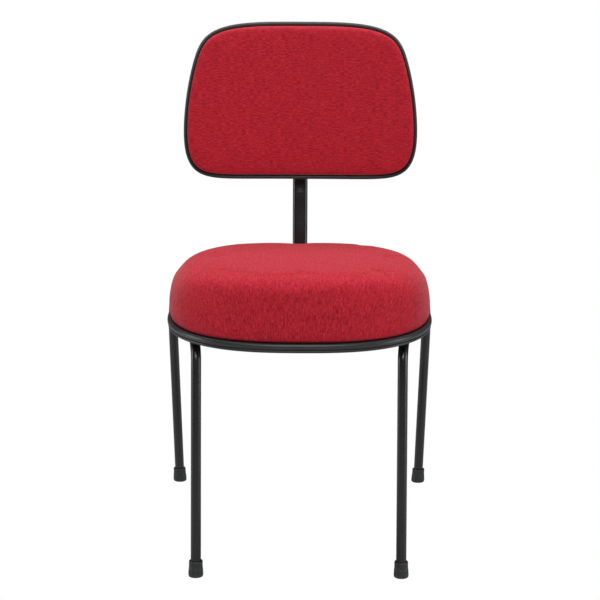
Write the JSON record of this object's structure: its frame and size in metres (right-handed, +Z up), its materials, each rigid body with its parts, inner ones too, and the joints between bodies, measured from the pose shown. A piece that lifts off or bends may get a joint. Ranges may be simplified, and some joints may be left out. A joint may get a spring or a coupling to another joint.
{
  "type": "drum throne",
  "caption": "Padded musician's seat on tube legs with rubber feet, and a padded backrest that slides and tilts on a flat-oval post.",
  "frame": {"origin": "on the floor under the middle of the bounding box", "axes": "+Z up from the floor, -Y the way the sitter faces, +X the sitter's left"},
  "size_m": [0.4572, 0.5532, 0.8268],
  "materials": {
    "frame_steel": "satin black powder coat",
    "foot_rubber": "matt black",
    "red_fabric": "red melange woven wool",
    "edge_trim": "satin black extruded profile",
    "black_shell": "fine-grained black",
    "plywood": "beech plywood",
    "foam": "open-cell foam",
    "zinc_steel": "zinc plated",
    "knob_plastic": "black moulded plastic",
    "brake_pad": "natural nylon"
  },
  "bodies": {
    "frame": {"front_leg_left": "frame_steel", "front_leg_right": "frame_steel", "side_rail_left": "frame_steel", "side_rail_right": "frame_steel", "rear_leg_left": "frame_steel", "rear_leg_right": "frame_steel", "front_cross_tube": "frame_steel", "rear_cross_tube": "frame_steel", "seat_bracket_front_left": "frame_steel", "seat_bracket_front_right": "frame_steel", "seat_bracket_rear_left": "frame_steel", "seat_bracket_rear_right": "frame_steel", "post_saddle": "frame_steel", "back_post": "frame_steel", "post_stop_screw": "frame_steel", "foot_front_left": "foot_rubber", "foot_front_right": "foot_rubber", "foot_rear_left": "foot_rubber", "foot_rear_right": "foot_rubber", "seat_cover": "red_fabric", "seat_edge_profile": "edge_trim", "seat_under_pan": "black_shell", "seat_board": "plywood", "seat_foam": "foam", "seat_screw_front_left": "zinc_steel", "seat_screw_front_right": "zinc_steel", "seat_screw_rear_left": "zinc_steel", "seat_screw_rear_right": "zinc_steel", "seat_tnut_front_left": "zinc_steel", "seat_tnut_front_right": "zinc_steel", "seat_tnut_rear_left": "zinc_steel", "seat_tnut_rear_right": "zinc_steel", "post_bolt_front": "zinc_steel", "post_bolt_rear": "zinc_steel", "post_nut_front": "zinc_steel", "post_nut_rear": "zinc_steel", "post_top_plug": "knob_plastic", "post_front_plug": "knob_plastic"},
    "carriage": {"post_sleeve": "frame_steel", "clamp_pad": "brake_pad", "pivot_bolt": "zinc_steel", "pivot_nut": "zinc_steel"},
    "knob": {"knob_handle": "knob_plastic", "knob_stud": "zinc_steel"},
    "backrest": {"back_bracket": "frame_steel", "bracket_screw_1": "zinc_steel", "bracket_screw_2": "zinc_steel", "bracket_screw_3": "zinc_steel", "bracket_screw_4": "zinc_steel", "back_board": "plywood", "back_foam": "foam", "back_cover": "red_fabric", "back_edge_profile": "edge_trim", "back_rear_shell": "black_shell"}
  },
  "joints": [
    {"name": "backrest_height", "type": "slide", "parent": "frame", "child": "carriage", "axis": [0, 0.1219, 0.9925], "range_m": [-0.055, 0.05]},
    {"name": "backrest_tilt", "type": "hinge", "parent": "carriage", "child": "backrest", "pos_m": [0, 0.18923, 0.67032], "axis": [1, 0, 0], "range_deg": [-9, 12]},
    {"name": "clamp_knob", "type": "hinge", "parent": "carriage", "child": "knob", "pos_m": [0, 0.23196, 0.62447], "axis": [0, 0.9925, -0.1219], "range_deg": [0, 450]}
  ]
}
